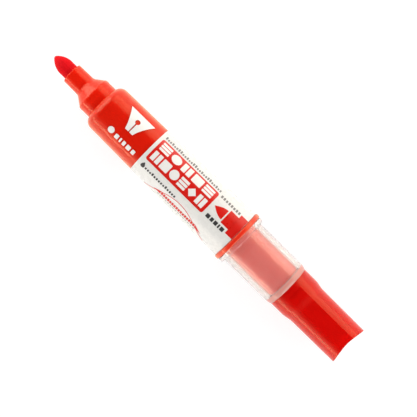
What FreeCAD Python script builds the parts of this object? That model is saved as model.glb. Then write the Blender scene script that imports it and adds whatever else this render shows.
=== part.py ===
import FreeCAD, Part
import math
import os

# A refillable whiteboard marker with its cap posted on the tail, lying along X.
# The bullet nib points along -X and the cap's crown along +X. The marker lies on the
# plane Z = 0, which only its widest part, the grip ring at the tail, touches.
# Distances along the marker, called stations, are measured from a plane that lies 0.5 mm
# ahead of the nib's tip.
# All sizes are in millimetres.

Vector = FreeCAD.Vector

# ---- Driving dimensions -------------------------------------------------------------

TOTAL_LENGTH = 142.0
TIP = 0.5
RING_RADIUS = 10.3
AXIS_HEIGHT = RING_RADIUS

# Stations of the outer form, front to back.
NOSE_FRONT = 8.6
CONE_START = 15.1
COLLAR_FRONT = 19.55
SHOULDER_FRONT = 23.4
SHOULDER_FULL = 26.5
FLANGE_FRONT = 25.6
FLANGE_REAR = 27.2
LABEL_FRONT = 27.3
BARREL_REAR = 87.8
RING_FRONT = 87.85
RING_REAR = 89.4
RIM_FRONT = 89.5
RIM_REAR = 91.1
TAIL_END = 111.2
SLEEVE_END = 113.2
FLAT_START = 115.6
WAIST_START = 118.6
WAIST_END = 122.8
HORN_TIP = TIP + TOTAL_LENGTH

# Outer radii.
NIB_RADIUS = 2.92
NOSE_RADIUS = 3.85
COLLAR_RADIUS = 6.62
BARREL_FRONT_RADIUS = 8.93
BARREL_REAR_RADIUS = 9.8
TAIL_RADIUS = 6.6
SLEEVE_RADIUS = 8.75
RIM_RADIUS = 10.05
CROWN_RADIUS = 8.25
CROWN_WAIST_RADIUS = 7.68
CROWN_END_RADIUS = 7.58

# Fits and thin layers.
LINER_BORE = 6.7
LINER_RADIUS = 7.05
SLEEVE_BORE = 7.1
WELL_RADIUS = 3.9
RETAINER_NECK = 5.3
RETAINER_REAR = 115.2
THREAD_GAP = 0.2
PRESS_GAP = 0.05
LABEL_GAP = 0.02
LABEL_THICKNESS = 0.12

# The screw between barrel and tail.
THREAD_PITCH = 2.4
THREAD_TURNS = 2.5
THREAD_ROOT_RADIUS = 7.85
THREAD_CREST_RADIUS = 8.45
THREAD_START = 81.0
THREAD_ROOT_WIDTH = 1.1
THREAD_CREST_WIDTH = 0.55
SPIGOT_FRONT = 77.6
SEAL_GROOVE_FRONT = 78.2
SEAL_GROOVE_REAR = 79.6
SEAL_GROOVE_RADIUS = 6.95
SEAL_SECTION_RADIUS = 0.5

# The ink feed.
HOUSING_FRONT = 27.8
HOUSING_REAR = 51.4
HOUSING_BORE = 5.5
HOUSING_RADIUS = 6.0
FIN_COUNT = 17
FIN_PITCH = 1.02
FIN_THICKNESS = 0.52
FIN_RADIUS = 5.45
COMB_START = 32.5
CORE_FRONT = 30.2
CORE_REAR = 60.7
CORE_RADIUS = 1.5
PLUG_REAR = 52.4
SPIGOT_RADIUS = 2.0

# The cartridge.
CARTRIDGE_FRONT = 55.9
CARTRIDGE_REAR = 109.7
CARTRIDGE_RADIUS = 5.35
CARTRIDGE_WALL = 0.75
NECK_RADIUS = 3.65
NECK_END = 60.7
BALL_RADIUS = 2.2
BALL_STATION = 65.8


# ---- Helpers ------------------------------------------------------------------------

def along(station):
    """The X coordinate of a station."""
    return station - TIP - TOTAL_LENGTH / 2


def at(station, radius):
    """The point at a station and a radius, in the half plane above the axis."""
    return Vector(along(station), 0, AXIS_HEIGHT + radius)


def turned(start, *moves):
    """A solid turned about the marker's axis. A move is a (station, radius) pair for a
    straight edge, or two such pairs for an arc through the first to the second."""
    edges = []
    here = at(*start)
    for move in list(moves) + [start]:
        if isinstance(move[0], tuple):
            through, end = at(*move[0]), at(*move[1])
            edges.append(Part.Arc(here, through, end).toShape())
        else:
            end = at(*move)
            if end.distanceToPoint(here) < 1e-7:
                continue
            edges.append(Part.LineSegment(here, end).toShape())
        here = end
    face = Part.Face(Part.Wire(edges))
    return face.revolve(Vector(0, 0, AXIS_HEIGHT), Vector(1, 0, 0), 360)


def tube(front, rear, inner, outer):
    """A plain tube between two stations."""
    return turned((front, inner), (front, outer), (rear, outer), (rear, inner))


def block(front, rear, width, low, high):
    """A box between two stations, centred on the axis in Y, from low to high above it."""
    corner = Vector(along(front), -width / 2, AXIS_HEIGHT + low)
    return Part.makeBox(rear - front, width, high - low, corner)


def spun(shape, degrees):
    """A copy of a shape, turned about the marker's axis."""
    copy = shape.copy()
    copy.rotate(Vector(0, 0, AXIS_HEIGHT), Vector(1, 0, 0), degrees)
    return copy


def thread_ridge(start, turns, root, crest, root_width, crest_width):
    """A right-handed helical ridge of trapezoid section about the marker's axis."""
    helix = Part.makeHelix(THREAD_PITCH, THREAD_PITCH * turns, root)
    corners = [
        Vector(root, 0, -root_width / 2),
        Vector(crest, 0, -crest_width / 2),
        Vector(crest, 0, crest_width / 2),
        Vector(root, 0, root_width / 2),
    ]
    section = Part.makePolygon(corners + corners[:1])
    ridge = Part.Wire(helix.Edges).makePipeShell([section], True, True)
    ridge.rotate(Vector(0, 0, 0), Vector(0, 1, 0), 90)
    ridge.translate(Vector(along(start), 0, AXIS_HEIGHT))
    return ridge


def cut_all(shape, tools):
    for tool in tools:
        shape = shape.cut(tool)
    return shape


def barrel_radius(station):
    """The barrel's outer radius, which grows evenly towards its open rear end."""
    share = (station - SHOULDER_FULL) / (BARREL_REAR - SHOULDER_FULL)
    return BARREL_FRONT_RADIUS + share * (BARREL_REAR_RADIUS - BARREL_FRONT_RADIUS)


# ---- Writing end --------------------------------------------------------------------

def nib():
    """A round bullet nib of pressed fibre. Its stem runs back into the ink feed."""
    tenon_start = 28.2
    tenon_radius = 1.9
    return turned(
        (TIP, 0),
        ((0.6, 0.42), (0.9, 0.76)),
        ((2.5, 2.02), (6.4, NIB_RADIUS)),
        (tenon_start, NIB_RADIUS),
        (tenon_start + 0.8, tenon_radius),
        (CORE_FRONT, tenon_radius),
        (CORE_FRONT, 0),
    )


def nose_holder():
    """The translucent nose that grips the nib, with the collar that the cap seals on.
    Its flange stops it inside the barrel and its skirt holds the collector's tube."""
    bore = NIB_RADIUS + PRESS_GAP
    edge = 0.3
    flange_radius = 7.4
    skirt_end = 31.7
    skirt_radius = 6.6
    skirt_bore = HOUSING_RADIUS + PRESS_GAP
    guide_radius = 3.6
    guide_end = 24.6
    cavity_radius = 5.3
    cavity_front = 18.9
    vent_width = 0.5
    vent_depth = 0.35
    body = turned(
        (NOSE_FRONT, bore),
        (NOSE_FRONT, NOSE_RADIUS - edge),
        (
            (NOSE_FRONT + 0.09, NOSE_RADIUS - 0.09),
            (NOSE_FRONT + edge, NOSE_RADIUS),
        ),
        (CONE_START, NOSE_RADIUS + 0.1),
        ((CONE_START + 0.75, 4.25), (CONE_START + 1.35, 4.7)),
        (18.45, 6.17),
        ((18.9, 6.53), (COLLAR_FRONT, COLLAR_RADIUS + 0.04)),
        ((20.05, COLLAR_RADIUS + 0.03), (20.5, COLLAR_RADIUS - 0.04)),
        (21.1, COLLAR_RADIUS - 0.04),
        (21.5, COLLAR_RADIUS),
        (FLANGE_FRONT, COLLAR_RADIUS),
        (FLANGE_FRONT, flange_radius),
        (FLANGE_REAR, flange_radius),
        (FLANGE_REAR, skirt_radius),
        (skirt_end, skirt_radius),
        (skirt_end, skirt_bore),
        (HOUSING_FRONT - PRESS_GAP, skirt_bore),
        (HOUSING_FRONT - PRESS_GAP, cavity_radius),
        (cavity_front, cavity_radius),
        (cavity_front - 1.0, guide_radius),
        (guide_end, guide_radius),
        (guide_end, bore),
    )
    vent = block(NOSE_FRONT - 1, guide_end + 1, vent_width, bore - 0.3, bore + vent_depth)
    return cut_all(body, [spun(vent, 45 + 90 * n) for n in range(4)])


def collector_housing():
    """The tube round the comb, whose bore closes the comb's ink cells."""
    return tube(HOUSING_FRONT, HOUSING_REAR, HOUSING_BORE, HOUSING_RADIUS)


def feed_collector():
    """The comb that takes up surplus ink: a core tube with thin fins, an ink slit
    along the top and an air channel along the bottom."""
    socket_front = 28.4
    socket_rear = 31.6
    socket_floor = 30.5
    socket_radius = 4.2
    core_radius = 2.4
    bore = CORE_RADIUS + PRESS_GAP
    comb_end = COMB_START + FIN_COUNT * FIN_PITCH
    body = turned(
        (socket_front, NIB_RADIUS + PRESS_GAP),
        (socket_front, socket_radius),
        (socket_rear, socket_radius),
        (socket_rear, core_radius),
        (comb_end, core_radius),
        (comb_end, bore),
        (socket_floor, bore),
        (socket_floor, NIB_RADIUS + PRESS_GAP),
    )
    for n in range(FIN_COUNT):
        front = COMB_START + n * FIN_PITCH
        fin = tube(front, front + FIN_THICKNESS, core_radius - 0.3, FIN_RADIUS)
        body = body.fuse(fin)
    body = body.removeSplitter()
    ink_slit = block(COMB_START - 0.5, comb_end + 1, 0.7, bore + 0.4, FIN_RADIUS + 1)
    air_channel = block(COMB_START - 0.5, comb_end + 1, 1.5, -FIN_RADIUS - 1, -3.9)
    return cut_all(body, [ink_slit, air_channel])


def feed_core():
    """The fibre rod that carries ink from the cartridge to the nib."""
    return turned(
        (CORE_FRONT, 0),
        (CORE_FRONT, CORE_RADIUS),
        (CORE_REAR, CORE_RADIUS),
        (CORE_REAR, 0),
    )


def joint_plug():
    """Closes the housing's rear end. Its spigot reaches into the cartridge's mouth."""
    front = 50.2
    spigot_end = 61.7
    bore = CORE_RADIUS + PRESS_GAP
    body = turned(
        (front, bore),
        (front, HOUSING_BORE - PRESS_GAP),
        (HOUSING_REAR, HOUSING_BORE - PRESS_GAP),
        (HOUSING_REAR, HOUSING_RADIUS),
        (PLUG_REAR, HOUSING_RADIUS),
        (PLUG_REAR, SPIGOT_RADIUS),
        (spigot_end - 0.5, SPIGOT_RADIUS),
        (spigot_end, SPIGOT_RADIUS - 0.3),
        (spigot_end, bore),
    )
    air_slot = block(57.4, spigot_end + 1, 0.6, 1.0, SPIGOT_RADIUS + 0.5)
    return body.cut(air_slot)


def joint_gasket():
    """The soft ring between the plug and the cartridge's mouth."""
    bore = SPIGOT_RADIUS + PRESS_GAP
    return turned(
        (PLUG_REAR, bore),
        (PLUG_REAR, 3.7),
        (54.3, 3.5),
        (55.1, 2.9),
        (55.1, bore),
    )


# ---- Barrel -------------------------------------------------------------------------

def barrel():
    """The translucent barrel. It widens evenly from its round shoulder to its open
    rear end, which has a female thread for the tail."""
    hole = COLLAR_RADIUS + PRESS_GAP
    arc_radius = SHOULDER_FULL - SHOULDER_FRONT
    arc_centre = BARREL_FRONT_RADIUS - arc_radius
    half = math.sqrt(0.5)
    foot = math.sqrt(arc_radius**2 - (hole + 0.2 - arc_centre)**2)
    wall_rear = FLANGE_FRONT - PRESS_GAP
    bore_front = 7.45
    bore_rear = THREAD_ROOT_RADIUS + THREAD_GAP
    chamfer = 0.45
    # The body is first made too long, so that the groove ends inside it. The mouth is
    # then cut square, which leaves the groove open to the rear.
    spare = 8.0
    body = turned(
        (SHOULDER_FULL - foot, hole),
        (SHOULDER_FULL - foot, hole + 0.2),
        (
            (SHOULDER_FULL - half * arc_radius, arc_centre + half * arc_radius),
            (SHOULDER_FULL, BARREL_FRONT_RADIUS),
        ),
        (BARREL_REAR, BARREL_REAR_RADIUS),
        (BARREL_REAR + spare, BARREL_REAR_RADIUS),
        (BARREL_REAR + spare, bore_rear),
        (SPIGOT_FRONT - 0.8, bore_rear),
        (wall_rear, bore_front),
        (wall_rear, hole),
    )
    lead = 0.25
    run_out = 1.4
    groove = thread_ridge(
        THREAD_START - THREAD_PITCH * lead,
        THREAD_TURNS + lead + run_out,
        bore_rear - 0.3,
        THREAD_CREST_RADIUS + THREAD_GAP,
        THREAD_ROOT_WIDTH + 2 * THREAD_GAP,
        THREAD_CREST_WIDTH + 2 * THREAD_GAP,
    )
    mouth = turned(
        (BARREL_REAR - chamfer, 0),
        (BARREL_REAR - chamfer, bore_rear),
        (BARREL_REAR, bore_rear + chamfer),
        (BARREL_REAR, BARREL_REAR_RADIUS + 1),
        (BARREL_REAR + spare + 1, BARREL_REAR_RADIUS + 1),
        (BARREL_REAR + spare + 1, 0),
    )
    return cut_all(body, [spun(groove, -360 * lead), mouth])


def label_film():
    """The printed film round the barrel, clear at the front and white behind."""
    rear = BARREL_REAR - 0.2
    inner_front = barrel_radius(LABEL_FRONT) + LABEL_GAP
    inner_rear = barrel_radius(rear) + LABEL_GAP
    return turned(
        (LABEL_FRONT, inner_front),
        (LABEL_FRONT, inner_front + LABEL_THICKNESS),
        (rear, inner_rear + LABEL_THICKNESS),
        (rear, inner_rear),
    )


# ---- Cartridge ----------------------------------------------------------------------

def cartridge_bottle():
    """The clear ink bottle, closed at the rear, with a narrow neck at the front."""
    wall = CARTRIDGE_WALL
    bore = CARTRIDGE_RADIUS - wall
    dome = 2.0
    half = 1 - math.sqrt(0.5)
    inner_dome = dome - wall
    shoulder_end = NECK_END + 2.0
    return turned(
        (CARTRIDGE_FRONT, NECK_RADIUS - wall),
        (CARTRIDGE_FRONT, NECK_RADIUS),
        (NECK_END, NECK_RADIUS),
        (shoulder_end, CARTRIDGE_RADIUS),
        (CARTRIDGE_REAR - dome, CARTRIDGE_RADIUS),
        (
            (CARTRIDGE_REAR - half * dome, CARTRIDGE_RADIUS - half * dome),
            (CARTRIDGE_REAR, CARTRIDGE_RADIUS - dome),
        ),
        (CARTRIDGE_REAR, 0),
        (CARTRIDGE_REAR - wall, 0),
        (CARTRIDGE_REAR - wall, bore - inner_dome),
        (
            (CARTRIDGE_REAR - wall - half * inner_dome, bore - half * inner_dome),
            (CARTRIDGE_REAR - dome, bore),
        ),
        (shoulder_end + 0.3, bore),
        (NECK_END + 0.3, NECK_RADIUS - wall),
    )


def cartridge_wrap():
    """The printed film round the cartridge."""
    inner = CARTRIDGE_RADIUS + LABEL_GAP
    return tube(64.5, 84.0, inner, inner + LABEL_THICKNESS)


def mouth_bush():
    """The bush in the bottle's neck that seals round the spigot."""
    neck_bore = NECK_RADIUS - CARTRIDGE_WALL
    bore = SPIGOT_RADIUS + PRESS_GAP
    return turned(
        (CARTRIDGE_FRONT - 0.6, bore),
        (CARTRIDGE_FRONT - 0.6, NECK_RADIUS - 0.05),
        (CARTRIDGE_FRONT - PRESS_GAP, NECK_RADIUS - 0.05),
        (CARTRIDGE_FRONT - PRESS_GAP, neck_bore - PRESS_GAP),
        (60.1, neck_bore - PRESS_GAP),
        (60.1, bore),
    )


def seal_ball():
    """The ball that closed the new cartridge's mouth, now loose in the bottle."""
    drop = CARTRIDGE_RADIUS - CARTRIDGE_WALL - BALL_RADIUS - 0.15
    centre = Vector(along(BALL_STATION), 0, AXIS_HEIGHT - drop)
    return Part.makeSphere(BALL_RADIUS, centre, Vector(0, 0, 1))


# ---- Tail ---------------------------------------------------------------------------

def tail():
    """The closed tail that holds the cartridge's end, with the grip ring and the male
    thread that screws into the barrel."""
    spigot_bore = 6.35
    bore = CARTRIDGE_RADIUS + 0.2
    floor = CARTRIDGE_REAR + 0.4
    neck_radius = 7.5
    bead = RING_REAR + 2.6
    edge = 0.35
    corner = 1.2
    half = 1 - math.sqrt(0.5)
    body = turned(
        (SPIGOT_FRONT, spigot_bore),
        (SPIGOT_FRONT, THREAD_ROOT_RADIUS - 0.3),
        (SPIGOT_FRONT + 0.3, THREAD_ROOT_RADIUS),
        (SEAL_GROOVE_FRONT, THREAD_ROOT_RADIUS),
        (SEAL_GROOVE_FRONT, SEAL_GROOVE_RADIUS),
        (SEAL_GROOVE_REAR, SEAL_GROOVE_RADIUS),
        (SEAL_GROOVE_REAR, THREAD_ROOT_RADIUS),
        (RING_FRONT - 0.6, THREAD_ROOT_RADIUS),
        (RING_FRONT - 0.5, neck_radius),
        (RING_FRONT, neck_radius),
        (RING_FRONT, RING_RADIUS - edge),
        (
            (RING_FRONT + half * edge, RING_RADIUS - half * edge),
            (RING_FRONT + edge, RING_RADIUS),
        ),
        (RING_REAR - edge, RING_RADIUS),
        (
            (RING_REAR - half * edge, RING_RADIUS - half * edge),
            (RING_REAR, RING_RADIUS - edge),
        ),
        (RING_REAR, TAIL_RADIUS),
        (bead - 0.5, TAIL_RADIUS),
        ((bead, TAIL_RADIUS + 0.06), (bead + 0.5, TAIL_RADIUS)),
        (TAIL_END - corner, TAIL_RADIUS),
        (
            (TAIL_END - half * corner, TAIL_RADIUS - half * corner),
            (TAIL_END, TAIL_RADIUS - corner),
        ),
        (TAIL_END, 0),
        (floor, 0),
        (floor, bore),
        (RING_FRONT + 0.7, bore),
        (RING_FRONT - 0.3, spigot_bore),
    )
    ridge = thread_ridge(
        THREAD_START,
        THREAD_TURNS,
        THREAD_ROOT_RADIUS - 0.2,
        THREAD_CREST_RADIUS,
        THREAD_ROOT_WIDTH,
        THREAD_CREST_WIDTH,
    )
    return body.fuse(ridge)


def tail_seal():
    """The O-ring in the tail's groove, against the barrel's bore."""
    section = SEAL_SECTION_RADIUS
    ring = Part.makeTorus(SEAL_GROOVE_RADIUS + PRESS_GAP + section, section)
    ring.rotate(Vector(0, 0, 0), Vector(0, 1, 0), 90)
    middle = (SEAL_GROOVE_FRONT + SEAL_GROOVE_REAR) / 2
    ring.translate(Vector(along(middle), 0, AXIS_HEIGHT))
    return ring


# ---- Cap ----------------------------------------------------------------------------

def inner_cap():
    """The milky liner that seals on the nose's collar and grips the posted tail.
    A narrow well at its end takes the nib."""
    mouth = RIM_FRONT + 0.25
    floor = TAIL_END + 0.15
    wall = 0.4
    corner = 0.8
    half = 1 - math.sqrt(0.5)
    well_end = 118.0
    return turned(
        (mouth, LINER_BORE + 0.15),
        (mouth, LINER_RADIUS),
        (floor + wall - corner, LINER_RADIUS),
        (
            (floor + wall - half * corner, LINER_RADIUS - half * corner),
            (floor + wall, LINER_RADIUS - corner),
        ),
        (floor + wall, WELL_RADIUS + wall),
        (well_end, WELL_RADIUS + wall),
        (well_end, 0),
        (well_end - wall, 0),
        (well_end - wall, WELL_RADIUS),
        (floor, WELL_RADIUS),
        (floor, LINER_BORE - 0.4),
        (floor - 0.4, LINER_BORE),
        (mouth + 0.5, LINER_BORE),
    )


def cap_sleeve():
    """The clear outer sleeve, with a rim at its mouth and an inward wall at its rear."""
    wall_front = SLEEVE_END - 1.0
    edge = 0.4
    half = 1 - math.sqrt(0.5)
    round_off = SLEEVE_RADIUS - CROWN_RADIUS
    return turned(
        (RIM_FRONT, SLEEVE_BORE + 0.25),
        (RIM_FRONT, RIM_RADIUS - 0.15),
        (RIM_FRONT + 0.15, RIM_RADIUS),
        (RIM_REAR - edge, RIM_RADIUS),
        (
            (RIM_REAR - half * edge, RIM_RADIUS - half * edge),
            (RIM_REAR, RIM_RADIUS - edge),
        ),
        (RIM_REAR, SLEEVE_RADIUS + edge),
        (
            (RIM_REAR + half * edge, SLEEVE_RADIUS + half * edge),
            (RIM_REAR + edge, SLEEVE_RADIUS),
        ),
        (SLEEVE_END - 1.8, SLEEVE_RADIUS),
        (
            (SLEEVE_END - 0.7, SLEEVE_RADIUS - 0.19),
            (SLEEVE_END, SLEEVE_RADIUS - round_off),
        ),
        (SLEEVE_END, RETAINER_NECK),
        (wall_front, RETAINER_NECK),
        (wall_front, SLEEVE_BORE),
        (RIM_FRONT + 0.25, SLEEVE_BORE),
    )


def crown_flat_tool():
    """The block that cuts one flat. Its face follows the crown's waist, at the depth
    that leaves a flat of one width."""
    half_width = 2.85

    def depth(radius):
        return math.sqrt(radius**2 - half_width**2)

    middle = (WAIST_START + WAIST_END) / 2
    corners = [
        (FLAT_START, CROWN_RADIUS + 2),
        (FLAT_START, depth(CROWN_RADIUS)),
        (WAIST_START, depth(CROWN_RADIUS)),
        (middle, depth((CROWN_RADIUS + CROWN_WAIST_RADIUS) / 2)),
        (WAIST_END, depth(CROWN_WAIST_RADIUS)),
        (HORN_TIP + 1, depth(CROWN_END_RADIUS)),
        (HORN_TIP + 1, CROWN_RADIUS + 2),
    ]
    points = [at(*corner) - Vector(0, CROWN_RADIUS, 0) for corner in corners]
    waist = Part.BSplineCurve()
    waist.interpolate(
        points[2:5], InitialTangent=Vector(1, 0, 0), FinalTangent=Vector(1, 0, 0)
    )
    straight = [(0, 1), (1, 2), (4, 5), (5, 6), (6, 0)]
    edges = [Part.LineSegment(points[a], points[b]).toShape() for a, b in straight]
    edges.insert(2, waist.toShape())
    face = Part.Face(Part.Wire(edges))
    return face.extrude(Vector(0, 2 * CROWN_RADIUS, 0))


def cap_crown():
    """The coloured end of the cap: round at the front, then waisted, with a shallow
    flat above and below. Its end is scooped between two horns at the sides."""
    cavity_front_radius = 6.85
    cavity_radius = 5.5
    cavity_end = 138.8
    middle = (WAIST_START + WAIST_END) / 2
    middle_radius = (CROWN_RADIUS + CROWN_WAIST_RADIUS) / 2
    step = (CROWN_RADIUS - CROWN_WAIST_RADIUS) / 8
    body = turned(
        (SLEEVE_END, cavity_front_radius),
        (SLEEVE_END, CROWN_RADIUS - 0.15),
        (SLEEVE_END + 0.15, CROWN_RADIUS),
        (WAIST_START, CROWN_RADIUS),
        (
            ((WAIST_START + middle) / 2, CROWN_RADIUS - step),
            (middle, middle_radius),
        ),
        (
            ((WAIST_END + middle) / 2, CROWN_WAIST_RADIUS + step),
            (WAIST_END, CROWN_WAIST_RADIUS),
        ),
        (HORN_TIP + 1, CROWN_END_RADIUS),
        (HORN_TIP + 1, 0),
        (cavity_end, 0),
        (cavity_end, cavity_radius - 1.0),
        (cavity_end - 1.0, cavity_radius),
        (RETAINER_REAR + 3.0, cavity_radius),
        (RETAINER_REAR + 0.5, cavity_front_radius),
    )
    scoop_depth = 1.8
    scoop_radius = (CROWN_END_RADIUS**2 + scoop_depth**2) / (2 * scoop_depth)
    scoop_height = 4 * CROWN_RADIUS
    scoop_base = Vector(
        along(HORN_TIP - scoop_depth + scoop_radius), 0, AXIS_HEIGHT - scoop_height / 2
    )
    scoop = Part.makeCylinder(scoop_radius, scoop_height, scoop_base)
    flat = crown_flat_tool()
    return cut_all(body, [flat, spun(flat, 180), scoop])


def crown_retainer():
    """The ring pressed into the crown. Its lip holds the sleeve's rear wall."""
    wall_front = SLEEVE_END - 1.0
    lip = 0.35
    outer = 6.85 - PRESS_GAP
    return turned(
        (wall_front - lip, WELL_RADIUS + 0.6),
        (wall_front - lip, RETAINER_NECK - PRESS_GAP),
        (SLEEVE_END + PRESS_GAP, RETAINER_NECK - PRESS_GAP),
        (SLEEVE_END + PRESS_GAP, outer),
        (RETAINER_REAR, outer),
        (RETAINER_REAR, WELL_RADIUS + 0.6),
    )


# ---- Output -------------------------------------------------------------------------

PARTS = [
    nib,
    nose_holder,
    collector_housing,
    feed_collector,
    feed_core,
    joint_plug,
    joint_gasket,
    barrel,
    label_film,
    cartridge_bottle,
    cartridge_wrap,
    mouth_bush,
    seal_ball,
    tail,
    tail_seal,
    inner_cap,
    cap_sleeve,
    cap_crown,
    crown_retainer,
]


def main():
    os.makedirs("parts", exist_ok=True)
    for make in PARTS:
        shape = make()
        name = make.__name__
        if not shape.isValid() or len(shape.Solids) != 1:
            raise ValueError(f"{name} isn't one valid solid")
        box = shape.BoundBox
        print(
            f"{name:20s} volume {shape.Volume:9.1f}  "
            f"x {box.XMin:7.2f} {box.XMax:7.2f}  z {box.ZMin:6.2f} {box.ZMax:6.2f}"
        )
        shape.exportStep(f"parts/{name}.step")


main()
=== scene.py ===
import bpy
import bmesh
import math
from mathutils import Matrix, Vector

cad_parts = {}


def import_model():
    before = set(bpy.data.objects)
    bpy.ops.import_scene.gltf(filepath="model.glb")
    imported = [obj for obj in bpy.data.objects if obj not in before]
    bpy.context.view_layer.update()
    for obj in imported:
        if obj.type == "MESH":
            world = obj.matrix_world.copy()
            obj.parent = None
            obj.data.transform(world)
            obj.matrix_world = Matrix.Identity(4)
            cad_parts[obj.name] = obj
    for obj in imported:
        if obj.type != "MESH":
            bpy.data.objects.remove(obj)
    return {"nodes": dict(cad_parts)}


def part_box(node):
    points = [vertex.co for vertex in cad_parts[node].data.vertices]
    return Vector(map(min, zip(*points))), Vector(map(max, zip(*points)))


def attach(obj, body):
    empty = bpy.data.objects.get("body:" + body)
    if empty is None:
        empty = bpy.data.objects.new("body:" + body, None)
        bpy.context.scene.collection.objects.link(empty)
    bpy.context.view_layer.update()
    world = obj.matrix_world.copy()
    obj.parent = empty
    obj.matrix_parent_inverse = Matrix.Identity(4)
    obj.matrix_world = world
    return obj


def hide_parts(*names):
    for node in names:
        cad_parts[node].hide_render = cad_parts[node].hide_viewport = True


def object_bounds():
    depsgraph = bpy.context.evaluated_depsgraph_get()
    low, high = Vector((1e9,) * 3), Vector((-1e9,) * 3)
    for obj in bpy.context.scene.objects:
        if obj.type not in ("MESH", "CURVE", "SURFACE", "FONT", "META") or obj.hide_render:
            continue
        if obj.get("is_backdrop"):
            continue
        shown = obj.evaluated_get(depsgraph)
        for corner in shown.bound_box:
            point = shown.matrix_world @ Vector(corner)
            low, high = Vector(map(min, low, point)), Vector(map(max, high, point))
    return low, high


# A red whiteboard marker with its cap posted on the tail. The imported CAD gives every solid
# piece. This script adds finely divided shells for the cap, the printing on the film, the
# materials, the light and the camera.
# Metres throughout, +Z up, the marker along X with its nib towards -X.

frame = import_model()
cad_low, cad_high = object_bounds()

MM = 0.001
NIB_STATION = 0.5
DATUM_X = cad_low.x - NIB_STATION * MM
AXIS_HEIGHT = (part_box("barrel")[0].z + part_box("barrel")[1].z) / 2

# Stations are distances in millimetres from the datum, a plane just ahead of the nib.
WHITE_START = 46.2          # where the film's white ink begins
FILM_FRONT = (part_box("label_film")[0].x - DATUM_X) / MM
FILM_REAR = (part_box("label_film")[1].x - DATUM_X) / MM
FILM_RADIUS_FRONT = 9.08
FILM_RADIUS_REAR = 9.94
RING_REAR = 89.4            # the rear of the tail's grip ring
MILKY_FROM = 111.0          # where the cap's sleeve and liner turn milky, by the tail's end


# ---- Material helpers ---------------------------------------------------------------

PLASTIC_IOR = 1.49
FILM_IOR = 1.45
NOISE_LOW, NOISE_HIGH = 0.3, 0.7        # the span that most of a noise pattern fills


class Look:
    """A node material on a Principled shader, with helpers for its procedural parts."""

    def __init__(self, name):
        self.material = bpy.data.materials.new(name)
        self.material.use_nodes = True
        self.tree = self.material.node_tree
        self.shader = self.tree.nodes["Principled BSDF"]
        self.coords = self.node("ShaderNodeTexCoord").outputs["Object"]

    def node(self, kind, **settings):
        new = self.tree.nodes.new(kind)
        for key, value in settings.items():
            setattr(new, key, value)
        return new

    def link(self, source, target):
        self.tree.links.new(source, target)

    def set(self, **sockets):
        """Plain values for the shader's own sockets, with _ for each space in a name."""
        for key, value in sockets.items():
            self.shader.inputs[key.replace("_", " ")].default_value = value

    def noise(self, scale, detail=3.0, stretch=(1, 1, 1), roughness=0.55):
        mapping = self.node("ShaderNodeMapping")
        mapping.inputs["Scale"].default_value = stretch
        self.link(self.coords, mapping.inputs["Vector"])
        texture = self.node("ShaderNodeTexNoise")
        texture.inputs["Scale"].default_value = scale
        texture.inputs["Detail"].default_value = detail
        texture.inputs["Roughness"].default_value = roughness
        self.link(mapping.outputs["Vector"], texture.inputs["Vector"])
        return texture.outputs["Fac"]

    def remap(self, value, low, high, to_low, to_high):
        node = self.node("ShaderNodeMapRange")
        self.link(value, node.inputs["Value"])
        node.inputs["From Min"].default_value = low
        node.inputs["From Max"].default_value = high
        node.inputs["To Min"].default_value = to_low
        node.inputs["To Max"].default_value = to_high
        return node.outputs["Result"]

    def beyond(self, station, width):
        """A factor that is 0 up to a station and 1 from width millimetres behind it."""
        separate = self.node("ShaderNodeSeparateXYZ")
        self.link(self.coords, separate.inputs["Vector"])
        edge = DATUM_X + station * MM
        return self.remap(separate.outputs["X"], edge, edge + width * MM, 0, 1)

    def mix(self, factor, first, second):
        node = self.node("ShaderNodeMix", data_type="RGBA")
        self.link(factor, node.inputs["Factor"])
        for value, socket in ((first, node.inputs["A"]), (second, node.inputs["B"])):
            if isinstance(value, tuple):
                socket.default_value = (*value, 1)
            else:
                self.link(value, socket)
        return node.outputs["Result"]

    def vary(self, socket, factor, first, second):
        """A socket that goes from its first value to its second with a 0 to 1 factor."""
        self.link(self.remap(factor, 0, 1, first, second), self.shader.inputs[socket])

    def colour(self, first, second, factor):
        self.link(self.mix(factor, first, second), self.shader.inputs["Base Color"])

    def rough(self, factor, low, high):
        self.link(self.remap(factor, NOISE_LOW, NOISE_HIGH, low, high),
                  self.shader.inputs["Roughness"])

    def bump(self, height, distance):
        node = self.node("ShaderNodeBump")
        node.inputs["Distance"].default_value = distance
        node.inputs["Strength"].default_value = 1.0
        self.link(height, node.inputs["Height"])
        self.link(node.outputs["Normal"], self.shader.inputs["Normal"])


def plastic(name, first, second, rough, clear=0.0, wave=0.00002, zone=None):
    """Moulded plastic with handling marks in the gloss and a faint flow wave. The second
    colour is a slow drift, or with a zone, given as Look.beyond takes it, the colour there."""
    look = Look(name)
    look.set(Transmission_Weight=clear, IOR=PLASTIC_IOR)
    look.zone = look.beyond(*zone) if zone else look.noise(60)
    look.colour(first, second, look.zone)
    look.rough(look.noise(700, 4, (0.25, 1, 1)), rough, rough + 0.06)
    look.bump(look.noise(220, 2, (0.4, 1, 1)), wave)
    return look


def fibre(name, first, second):
    """Pressed fibre soaked with ink: lengthwise strands, dull, a soft halo at the edges."""
    look = Look(name)
    strands = look.noise(2400, 5, (0.12, 1, 1), 0.7)
    look.colour(first, second, look.remap(strands, 0.35, 0.65, 0, 1))
    look.rough(strands, 0.62, 0.85)
    look.bump(strands, 0.00006)
    look.set(Specular_IOR_Level=0.12, Sheen_Weight=0.06, Sheen_Roughness=0.4,
             Sheen_Tint=(1.0, 0.5, 0.45, 1))
    return look


def rubber(name, first, second):
    look = Look(name)
    look.colour(first, second, look.noise(300))
    look.rough(look.noise(900), 0.45, 0.62)
    look.bump(look.noise(2600, 2), 0.00001)
    return look


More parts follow.
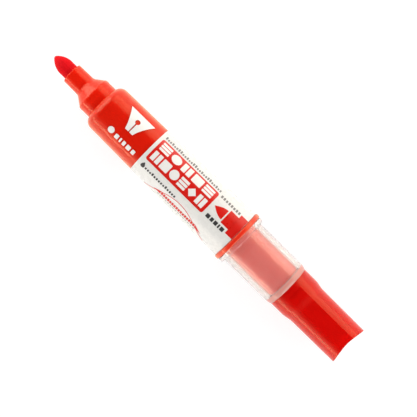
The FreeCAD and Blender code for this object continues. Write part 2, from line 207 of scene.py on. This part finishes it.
def printed_film():
    """The film round the barrel: clear at the front, white ink on it from WHITE_START."""
    look = Look("label film")
    blur = 0.02
    white = look.beyond(WHITE_START - blur, 2 * blur)
    paper = look.mix(look.noise(90), (0.82, 0.825, 0.80), (0.79, 0.795, 0.77))
    look.colour((0.95, 0.55, 0.50), paper, white)
    look.vary("Alpha", white, 0.0, 1.0)
    look.rough(look.noise(500, 4), 0.22, 0.34)
    look.bump(look.noise(160, 2), 0.00001)
    look.set(IOR=FILM_IOR)
    return look


def steel():
    look = Look("ball steel")
    look.set(Metallic=1.0)
    look.colour((0.66, 0.66, 0.65), (0.58, 0.58, 0.57), look.noise(400))
    look.rough(look.noise(1500, 4), 0.14, 0.28)
    look.bump(look.noise(3000, 2), 0.000004)
    return look


def ink_look(name, first, second):
    look = Look(name)
    look.colour(first, second, look.noise(900, 4))
    look.rough(look.noise(1200, 3), 0.26, 0.40)
    look.bump(look.noise(1800, 2), 0.000004)
    return look


# ---- Materials of the solid pieces --------------------------------------------------

RED_SHELL = (0.98, 0.012, 0.003)
RED_SHELL_DRIFT = (0.96, 0.010, 0.002)
SMOOTH_WAVE = 0.000001

nose_look = plastic("nose red", RED_SHELL, RED_SHELL_DRIFT, 0.14, clear=0.16)
barrel_look = plastic("barrel red", RED_SHELL, RED_SHELL_DRIFT, 0.16, clear=0.34)

# The ring is plain. The tail behind it glows faintly: a painted glow, emission that stands in
# for the light that the clear sleeve and the liner hold back from it.
tail_look = plastic("tail red", (0.95, 0.035, 0.014), (0.98, 0.02, 0.010), 0.05,
                    wave=SMOOTH_WAVE, zone=(RING_REAR, 0.1))
tail_look.vary("Transmission Weight", tail_look.zone, 0.2, 0.1)
# Painted glow: red emission on the tail behind the ring, in place of light reaching it through
# the sleeve.
tail_look.vary("Emission Strength", tail_look.zone, 0.0, 0.24)
tail_look.set(Emission_Color=(1.0, 0.07, 0.05, 1))

crown_look = plastic("crown red", (0.90, 0.003, 0.002), (0.86, 0.002, 0.002), 0.20,
                     clear=0.42, wave=SMOOTH_WAVE)
for look in (nose_look, barrel_look, tail_look, crown_look):
    look.set(Specular_Tint=(1.0, 0.80, 0.50, 1), Sheen_Weight=0.8, Sheen_Roughness=0.40,
             Sheen_Tint=(1.0, 0.58, 0.22, 1))
crown_look.set(Sheen_Weight=0.12)
tail_look.set(Specular_IOR_Level=0.9)

# The sleeve and the liner are clear round the tail and milky pink behind its end.
sleeve_look = plastic("clear", (0.975, 0.915, 0.865), (0.86, 0.40, 0.34), 0.02,
                      wave=SMOOTH_WAVE, zone=(MILKY_FROM, 0.3))
sleeve_look.vary("Transmission Weight", sleeve_look.zone, 0.90, 0.30)
liner_look = plastic("milky liner", (0.96, 0.92, 0.90), (0.90, 0.56, 0.50), 0.32,
                     zone=(MILKY_FROM, 0.4))
liner_look.vary("Alpha", liner_look.zone, 0.06, 0.6)

node_looks = {
    "nib": fibre("nib fibre", (0.82, 0.002, 0.008), (0.66, 0.0008, 0.005)),
    "nose_holder": nose_look,
    "collector_housing": plastic("inner tube red", (0.92, 0.008, 0.006),
                                 (0.86, 0.006, 0.005), 0.45),
    "feed_collector": plastic("inked comb", (0.60, 0.02, 0.02), (0.75, 0.06, 0.05), 0.35),
    "feed_core": fibre("feed fibre", (0.62, 0.01, 0.01), (0.50, 0.005, 0.006)),
    "joint_plug": plastic("natural plug", (0.80, 0.24, 0.18), (0.72, 0.16, 0.12), 0.32),
    "joint_gasket": rubber("gasket rubber", (0.42, 0.40, 0.38), (0.50, 0.48, 0.46)),
    "barrel": barrel_look,
    "label_film": printed_film(),
    "cartridge_bottle": plastic("bottle", (0.97, 0.95, 0.93), (0.94, 0.92, 0.90), 0.12,
                                clear=0.85),
    "cartridge_wrap": plastic("refill wrap", (0.74, 0.03, 0.03), (0.66, 0.02, 0.02), 0.30),
    "mouth_bush": plastic("bush", (0.82, 0.82, 0.80), (0.74, 0.74, 0.72), 0.35),
    "seal_ball": steel(),
    "tail": tail_look,
    "tail_seal": rubber("seal rubber", (0.018, 0.018, 0.02), (0.035, 0.035, 0.038)),
    "inner_cap": liner_look,
    "cap_sleeve": sleeve_look,
    "cap_crown": crown_look,
    "crown_retainer": plastic("retainer", (0.86, 0.05, 0.04), (0.78, 0.035, 0.03), 0.20),
}
for node, look in node_looks.items():
    data = frame["nodes"][node].data
    data.materials.clear()
    data.materials.append(look.material)


# ---- Finely divided shells of the cap -----------------------------------------------
# Gloss and glass show every facet, so the crown, the clear sleeve and the liner are made
# anew with the CAD pieces' own outlines. Stations and radii are in millimetres.

SHARP = math.radians(17)    # edges that turn more than this stay crisp
MERGE = 1e-7                # points closer than this, in metres, are one point
LATHE_STEPS = 192


def arc(u, v, radius, start, end, steps=6):
    """Points of an arc round (u, v), from one angle to another in degrees."""
    angles = [math.radians(start + (end - start) * i / steps) for i in range(steps + 1)]
    return [(u + radius * math.cos(a), v + radius * math.sin(a)) for a in angles]


def new_piece(name, mesh, look):
    """Turns a finished mesh into an object of the scene."""
    data = bpy.data.meshes.new(name)
    mesh.to_mesh(data)
    mesh.free()
    data.materials.append(look.material)
    piece = bpy.data.objects.new(name, data)
    bpy.context.scene.collection.objects.link(piece)
    return piece


def cap_piece(name, mesh, look, node):
    """A finished mesh as a piece of the cap that stands for one CAD node."""
    bmesh.ops.remove_doubles(mesh, verts=mesh.verts, dist=MERGE)
    bmesh.ops.recalc_face_normals(mesh, faces=mesh.faces)
    for face in mesh.faces:
        face.smooth = True
    for edge in mesh.edges:
        edge.smooth = edge.calc_face_angle(0) < SHARP
    piece = new_piece(name, mesh, look)
    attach(piece, "cap")
    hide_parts(node)


def face_over(mesh, corners):
    """A face over the corners, of which some may be the same point."""
    corners = list(dict.fromkeys(corners))
    if len(corners) > 2:
        mesh.faces.new(corners)


def skin(mesh, rings, closed=False):
    """Faces between each ring of points and the next. A ring may be one point repeated."""
    for i in range(len(rings) if closed else len(rings) - 1):
        ring = rings[i]
        following = rings[(i + 1) % len(rings)]
        for k in range(len(ring)):
            j = (k + 1) % len(ring)
            face_over(mesh, (ring[k], ring[j], following[j], following[k]))


def place(mesh, station, y, z):
    return mesh.verts.new((DATUM_X + station * MM, y * MM, AXIS_HEIGHT + z * MM))


def lathe(name, outline, look, node):
    """A closed outline of (station, radius) pairs turned about the marker's axis."""
    mesh = bmesh.new()
    turns = [2 * math.pi * i / LATHE_STEPS for i in range(LATHE_STEPS)]
    rings = []
    for station, radius in outline:
        if radius == 0:
            rings.append([place(mesh, station, 0, 0)] * LATHE_STEPS)
        else:
            rings.append([place(mesh, station, radius * math.sin(a), radius * math.cos(a))
                          for a in turns])
    skin(mesh, rings, closed=True)
    cap_piece(name, mesh, look, node)


def crown():
    """The red end of the cap: a waisted tube with a flat above and below, closed by a
    scooped end between two horns."""
    full, waist, end = 8.25, 7.68, 7.58     # radii ahead of, at and behind the waist
    flat_start, waist_start, waist_end = 115.6, 118.6, 122.8
    flat_half_width = 2.85
    horn_tip, scoop_depth = 142.5, 1.8
    floor_station = 138.8                   # the inner face of the closed end
    front, front_chamfer = 113.2, 0.15
    bore_mouth, bore = 6.85, 5.5
    scoop_radius = (end ** 2 + scoop_depth ** 2) / (2 * scoop_depth)
    scoop_centre = horn_tip - scoop_depth + scoop_radius
    flat_steps, side_steps, length_steps = 8, 40, 12
    mesh = bmesh.new()

    def ring(station, radius, flat=False, scooped=False):
        """Points round the section, from the +Y edge of the upper flat by +Y to below."""
        edge = math.asin(flat_half_width / radius)
        side = [edge + (math.pi - 2 * edge) * i / side_steps for i in range(side_steps)]
        lower = [math.pi - edge + 2 * edge * i / flat_steps for i in range(flat_steps)]
        depth = math.sqrt(radius ** 2 - flat_half_width ** 2)
        points = []
        for a in side + lower + [math.pi + a for a in side + lower]:
            x = station
            y = radius * math.sin(a)
            z = radius * math.cos(a)
            if flat:
                z = max(-depth, min(depth, z))
            if scooped:
                x = scoop_centre - math.sqrt(scoop_radius ** 2 - y ** 2)
            points.append(place(mesh, x, y, z))
        return points

    count = 2 * (flat_steps + side_steps)
    rings = [[place(mesh, floor_station, 0, 0)] * count]
    for station, radius in (
            (floor_station, 4.5), (137.8, bore), (118.2, bore), (115.7, bore_mouth),
            (front, bore_mouth), (front, full - front_chamfer),
            (front + front_chamfer, full), (flat_start, full)):
        rings.append(ring(station, radius))
    rings.append(ring(flat_start, full, flat=True))
    for i in range(length_steps + 1):
        share = i / length_steps
        smooth = share ** 2 * (3 - 2 * share)
        rings.append(ring(waist_start + (waist_end - waist_start) * share,
                          full + (waist - full) * smooth, flat=True))
    rear = horn_tip - scoop_depth - 0.1     # just ahead of the deepest point of the scoop
    for i in range(1, length_steps + 1):
        share = i / length_steps
        rings.append(ring(waist_end + (rear - waist_end) * share,
                          waist + (end - waist) * share, flat=True))
    last = ring(horn_tip, end, flat=True, scooped=True)
    skin(mesh, rings + [last])
    # The end face joins each point of the upper half to the one straight below it.
    for i in range(-flat_steps - side_steps // 2, side_steps // 2):
        below = side_steps - i
        face_over(mesh, [last[k % count] for k in (i, i + 1, below - 1, below)])
    cap_piece("crown_shell", mesh, crown_look, "cap_crown")


def sleeve():
    """The clear sleeve: a rim at its open front, a wall turned in at its rear."""
    front, rear = 89.5, 113.2
    rim, wall, bore = 10.05, 8.75, 7.1
    fillet = 0.4
    rim_rear = 90.7                         # where the rim's own fillet begins
    rear_bore = 5.3
    lathe("sleeve_shell", [
        (front, 7.35), (front, 9.9), (front + 0.15, rim), (rim_rear, rim)]
        + arc(rim_rear, rim - fillet, fillet, 90, 0)
        + arc(rim_rear + 2 * fillet, wall + fillet, fillet, 180, 270)
        + [(111.4, wall), (112.1, 8.67), (112.6, 8.54), (rear, 8.25),
           (rear, rear_bore), (rear - 1, rear_bore), (rear - 1, bore),
           (front + 0.25, bore)], sleeve_look, "cap_sleeve")


def liner():
    """The milky liner: a round-cornered cup with a narrow well for the nib behind it."""
    front, shoulder = 89.75, 110.95
    outer, corner, wall = 7.05, 0.8, 0.4
    well, well_end = 4.3, 118.0
    floor_station = shoulder + corner
    lathe("liner_shell", [
        (front, 6.85), (front, outer), (shoulder, outer)]
        + arc(shoulder, outer - corner, corner, 90, 0)
        + [(floor_station, well), (well_end, well), (well_end, 0), (well_end - wall, 0),
           (well_end - wall, well - wall), (floor_station - wall, well - wall),
           (floor_station - wall, 6.3), (shoulder, 6.7), (front + 0.5, 6.7)],
        liner_look, "inner_cap")


crown()
sleeve()
liner()


# ---- Printing on the film -----------------------------------------------------------
# Flat outlines in (station, arc) millimetres. Arc runs round the film from the top of the
# marker, positive towards +Y. Each outline becomes a thin closed layer laid on the film.

INK_THICKNESS = 0.012
INK_LOW, INK_HIGH = 0.010, 0.030    # heights over the film, so that white lies over red
STRIP = 0.45                        # the widest face that is bent round the film


def on_film(station, arc_length, height):
    share = (station - FILM_FRONT) / (FILM_REAR - FILM_FRONT)
    radius = FILM_RADIUS_FRONT + (FILM_RADIUS_REAR - FILM_RADIUS_FRONT) * share
    angle = arc_length / radius
    radius += height
    return Vector((DATUM_X + station * MM, math.sin(angle) * radius * MM,
                   AXIS_HEIGHT + math.cos(angle) * radius * MM))


class Ink:
    """One colour of printing, gathered as flat layers and then wrapped round the film."""

    def __init__(self, name, look, height):
        self.name = name
        self.look = look
        self.height = height
        self.flat = bmesh.new()

    def area(self, points):
        """A filled outline."""
        self.flat.faces.new([self.flat.verts.new((u, v, 0)) for u, v in points])

    def band(self, outer, inner):
        """The area between two open lines that have the same number of points."""
        a = [self.flat.verts.new((u, v, 0)) for u, v in outer]
        b = [self.flat.verts.new((u, v, 0)) for u, v in inner]
        for i in range(len(a) - 1):
            self.flat.faces.new((a[i], a[i + 1], b[i + 1], b[i]))

    def wrap(self):
        mesh = self.flat
        bmesh.ops.recalc_face_normals(mesh, faces=mesh.faces)
        for face in list(mesh.faces):
            if face.normal.z < 0:
                face.normal_flip()
        bmesh.ops.triangulate(mesh, faces=[f for f in mesh.faces if len(f.verts) > 4])
        low = min(v.co.y for v in mesh.verts)
        high = max(v.co.y for v in mesh.verts)
        cut = math.ceil(low / STRIP) * STRIP
        while cut < high:
            everything = mesh.verts[:] + mesh.edges[:] + mesh.faces[:]
            bmesh.ops.bisect_plane(mesh, geom=everything, plane_co=(0, cut, 0),
                                   plane_no=(0, 1, 0), dist=1e-5)
            cut += STRIP
        lifted = bmesh.ops.extrude_face_region(mesh, geom=mesh.faces[:], use_keep_orig=True)
        for item in lifted["geom"]:
            if isinstance(item, bmesh.types.BMVert):
                item.co.z = INK_THICKNESS
        for vert in mesh.verts:
            vert.co = on_film(vert.co.x, vert.co.y, self.height + vert.co.z)
        bmesh.ops.recalc_face_normals(mesh, faces=mesh.faces)
        piece = new_piece(self.name, mesh, self.look)
        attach(piece, "marker")


def rounded(u0, u1, v0, v1, radius, steps=5):
    """The outline of a rectangle with rounded corners."""
    points = []
    corners = ((u1, v1, 0), (u0, v1, 90), (u0, v0, 180), (u1, v0, 270))
    for u, v, start in corners:
        centre_u = u - radius if u == u1 else u + radius
        centre_v = v - radius if v == v1 else v + radius
        points += arc(centre_u, centre_v, radius, start, start + 90, steps)
    return points


def disc(u, v, radius, steps=20):
    turns = [2 * math.pi * i / steps for i in range(steps)]
    return [(u + radius * math.cos(a), v + radius * math.sin(a)) for a in turns]


def drop(u, v, radius, length, steps=28):
    """A drop whose round end is centred on (u, v) and whose point lies length towards +arc."""
    points = []
    for i in range(steps):
        angle = 2 * math.pi * i / steps
        rise = (1 + math.cos(angle)) / 2
        width = radius * math.sin(angle) * (1 - rise) ** 0.55 * 1.35
        points.append((u + width, v - radius + (length + radius) * rise))
    return points


def symbol(ink, kind, u, v, width, height):
    """One plain shape that fills the cell whose low corner is (u, v)."""
    if kind == "disc":
        ink.area([(u + width * (0.5 + x / 2), v + height * (0.5 + y / 2))
                  for x, y in disc(0, 0, 1)])
    elif kind == "diamond":
        ink.area([(u, v + height / 2), (u + width / 2, v),
                  (u + width, v + height / 2), (u + width / 2, v + height)])
    elif kind == "posts":
        for k in range(2):
            start = u + k * width * 0.56
            ink.area(rounded(start, start + width * 0.44, v, v + height, 0.15))
    elif kind == "slats":
        for k in range(3):
            start = v + k * height * 0.36
            ink.area(rounded(u, u + width, start, start + height * 0.28, 0.15))
    else:
        ink.area(rounded(u, u + width, v, v + height, 0.3))


def bars(ink, start, low, high, widths, gap, corner):
    """A row of upright bars of given widths."""
    for width in widths:
        ink.area(rounded(start, start + width, low, high, corner))
        start += width + gap


def fine_row(ink, start, end, base, heights, width, gap):
    """A row of upright bars whose heights repeat, which reads as fine print from afar."""
    count = int((end - start + gap) / (width + gap))
    for k in range(count):
        u = start + k * (width + gap)
        ink.area(rounded(u, u + width, base, base + heights[k % len(heights)], 0.12))


red_ink = Ink("print_red", ink_look(
    "ink red", (0.72, 0.012, 0.006), (0.64, 0.008, 0.005)), INK_LOW)
white_ink = Ink("print_white", ink_look(
    "ink white", (0.90, 0.90, 0.88), (0.86, 0.86, 0.84)), INK_HIGH)
black_ink = Ink("print_black", ink_look(
    "ink black", (0.03, 0.03, 0.03), (0.05, 0.05, 0.05)), INK_LOW)
grey_ink = Ink("print_grey", ink_look(
    "ink grey", (0.17, 0.17, 0.165), (0.22, 0.22, 0.215)), INK_LOW)

# The clear front zone: the sign for a pen nib with its hole and slit, all white.
SIGN, SIGN_LOW, SIGN_HEIGHT = 37.4, -0.6, 7.8
HOLE_ARC, HOLE_RADIUS, SLIT = 3.9, 0.95, 0.2
hole = [(SIGN + HOLE_RADIUS * math.sin(a), HOLE_ARC - HOLE_RADIUS * math.cos(a)) for a in
        [math.radians(14 + 332 * i / 20) for i in range(21)]]
flank = [(1.7 + 3.75 * (i / 8) ** 1.25, SIGN_LOW + SIGN_HEIGHT * i / 8) for i in range(9)]
white_ink.area([(SIGN + u, v) for u, v in flank]
               + [(SIGN - u, v) for u, v in reversed(flank)]
               + [(SIGN - SLIT, SIGN_LOW)] + list(reversed(hole))
               + [(SIGN + SLIT, SIGN_LOW)])

# Beside it a dot and a row of bars.
white_ink.area(disc(32.6, -4.4, 1.25))
bars(white_ink, 34.8, -5.7, -3.9, (1.5, 0.7, 1.2, 1.7, 1.4), 0.65, 0.3)

# The white zone: a red panel that holds two rows of plain white shapes.
red_ink.area(rounded(47.5, 74.1, -3.0, 6.5, 0.8))
for low, start, width, height, gap, kinds in (
        (2.55, 48.6, 4.15, 3.25, 0.85, ("slats", "disc", "posts", "block", "slats")),
        (-1.95, 48.5, 3.55, 3.55, 0.62,
         ("posts", "block", "disc", "slats", "diamond", "posts"))):
    for k, kind in enumerate(kinds):
        symbol(white_ink, kind, start + k * (width + gap), low, width, height)

# Fine grey rows over the panel and beside it.
fine_row(grey_ink, 47.8, 73.9, 7.2, (1.5, 0.9, 0.9, 1.3, 0.8, 1.0, 1.4), 0.62, 0.36)
fine_row(grey_ink, 75.0, 84.2, 5.85, (1.15, 1.15, 1.0), 0.75, 0.40)

# The sign for a bullet nib, in red, with black bars under it.
BULLET_TIP, BULLET_LENGTH, BULLET_ARC, BULLET_HALF = 75.5, 4.8, 2.15, 2.0
bullet = [(BULLET_LENGTH * i / 12, BULLET_HALF * math.sin(i / 12 * math.pi / 2))
          for i in range(13)]
red_ink.area([(BULLET_TIP + u, BULLET_ARC + v) for u, v in bullet]
             + [(BULLET_TIP + u, BULLET_ARC - v) for u, v in reversed(bullet[1:])])
red_ink.area(rounded(80.8, 84.6, -0.55, 5.0, 0.12))
red_ink.area(rounded(84.4, FILM_REAR - 0.05, -2.1, 6.6, 0.12))
bars(black_ink, 75.6, -2.75, -1.3, (1.5, 1.2, 1.4, 0.6, 1.5), 0.45, 0.15)

# A small black drop with fine dashes, and a red lens-shaped outline with a band in it.
black_ink.area(drop(48.6, -5.7, 0.8, 1.5))
fine_row(black_ink, 49.8, 64.2, -6.15, (0.8, 0.8, 0.7, 1.15, 0.8, 0.9), 0.66, 0.38)
rises = [(i / 40, math.sin(math.pi * i / 40)) for i in range(41)]
red_ink.band([(52.6 + 28.6 * share, -12.6 + 6.4 * rise) for share, rise in rises],
             [(52.9 + 28.0 * share, -12.8 + 6.35 * rise) for share, rise in rises])
red_ink.area([(56.4, -9.6), (59.4, -8.1), (59.4, -9.6)])
red_ink.area([(75.6, -9.7), (75.6, -8.2), (78.9, -9.9)])
fine_row(red_ink, 59.6, 75.4, -9.55, (1.25, 1.35), 0.80, 0.20)
fine_row(grey_ink, 58.5, 76.5, -10.6, (0.35,), 0.70, 0.50)

for ink in (red_ink, white_ink, black_ink, grey_ink):
    ink.wrap()


# ---- Floor, light and camera --------------------------------------------------------

FLOOR_HALF = 3.0
FLOOR_GAP = 0.00005         # keeps the floor just clear of the grip ring
WARM = (1.0, 0.82, 0.66)
WHITE = (1.0, 1.0, 1.0)
LIGHT_TARGET = (0, 0, 0.01)


def floor():
    mesh = bmesh.new()
    mesh.faces.new([mesh.verts.new((x * FLOOR_HALF, y * FLOOR_HALF, 0))
                    for x, y in ((-1, -1), (1, -1), (1, 1), (-1, 1))])
    look = Look("floor white")
    look.colour((0.31, 0.31, 0.31), (0.29, 0.29, 0.29), look.noise(3))
    look.rough(look.noise(40), 0.6, 0.7)
    look.set(Emission_Strength=0.80, Specular_IOR_Level=0.2, Emission_Color=(1, 1, 1, 1))
    piece = new_piece("floor", mesh, look)
    piece.location.z = cad_low.z - FLOOR_GAP
    piece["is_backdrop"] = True


def area_light(name, place, width, height, power, colour):
    data = bpy.data.lights.new(name, "AREA")
    data.shape = "RECTANGLE"
    data.size = width
    data.size_y = height
    data.energy = power
    data.color = colour
    lamp = bpy.data.objects.new(name, data)
    lamp.location = place
    aim = (Vector(LIGHT_TARGET) - Vector(place)).to_track_quat("-Z", "Y")
    lamp.rotation_euler = aim.to_euler()
    lamp.visible_camera = False
    bpy.context.scene.collection.objects.link(lamp)


def world():
    """Soft studio surroundings: pale from the horizon up, dark overhead."""
    sky = bpy.data.worlds.new("studio")
    bpy.context.scene.world = sky
    sky.use_nodes = True
    tree = sky.node_tree
    background = tree.nodes["Background"]
    coords = tree.nodes.new("ShaderNodeTexCoord")
    separate = tree.nodes.new("ShaderNodeSeparateXYZ")
    ramp = tree.nodes.new("ShaderNodeMapRange")
    ramp.interpolation_type = "SMOOTHSTEP"
    ramp.inputs["From Min"].default_value = 0.25
    ramp.inputs["From Max"].default_value = 0.60
    ramp.inputs["To Min"].default_value = 0.95
    ramp.inputs["To Max"].default_value = 0.02
    tree.links.new(coords.outputs["Generated"], separate.inputs["Vector"])
    tree.links.new(separate.outputs["Z"], ramp.inputs["Value"])
    tree.links.new(ramp.outputs["Result"], background.inputs["Strength"])
    background.inputs["Color"].default_value = (*WHITE, 1)


def camera():
    """Straight above, turned so that the nib points up and to the left."""
    data = bpy.data.cameras.new("camera")
    data.sensor_fit = "HORIZONTAL"
    data.angle = math.radians(18.88)
    data.clip_start = 0.01
    data.clip_end = 20
    lens = bpy.data.objects.new("camera", data)
    centre = Vector(((cad_low.x + cad_high.x) / 2, 0, AXIS_HEIGHT))
    aim = centre + Vector((3.37, -0.12, 0)) * MM
    place = centre + Vector((-2.18, -0.12, 432.6)) * MM
    turn = math.radians(44.6)
    forward = (aim - place).normalized()
    right = Vector((math.cos(turn), math.sin(turn), 0))
    right = (right - forward * right.dot(forward)).normalized()
    up = right.cross(forward)
    rotation = Matrix((right, up, -forward)).transposed()
    lens.matrix_world = Matrix.Translation(place) @ rotation.to_4x4()
    bpy.context.scene.collection.objects.link(lens)
    bpy.context.scene.camera = lens


floor()
world()
area_light("soft_side", (0.0, 0.55, 0.30), 0.9, 0.45, 2.3, WARM)
area_light("strip_side", (0.0, -0.60, 0.045), 0.9, 0.07, 1.2, WARM)
area_light("nib_end", (-0.70, 0.0, 0.35), 1.0, 0.6, 5.5, WHITE)
area_light("crown_end", (0.70, 0.0, 0.35), 1.0, 0.6, 5.5, WHITE)
camera()
bpy.context.scene.view_settings.view_transform = "Standard"

low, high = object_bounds()
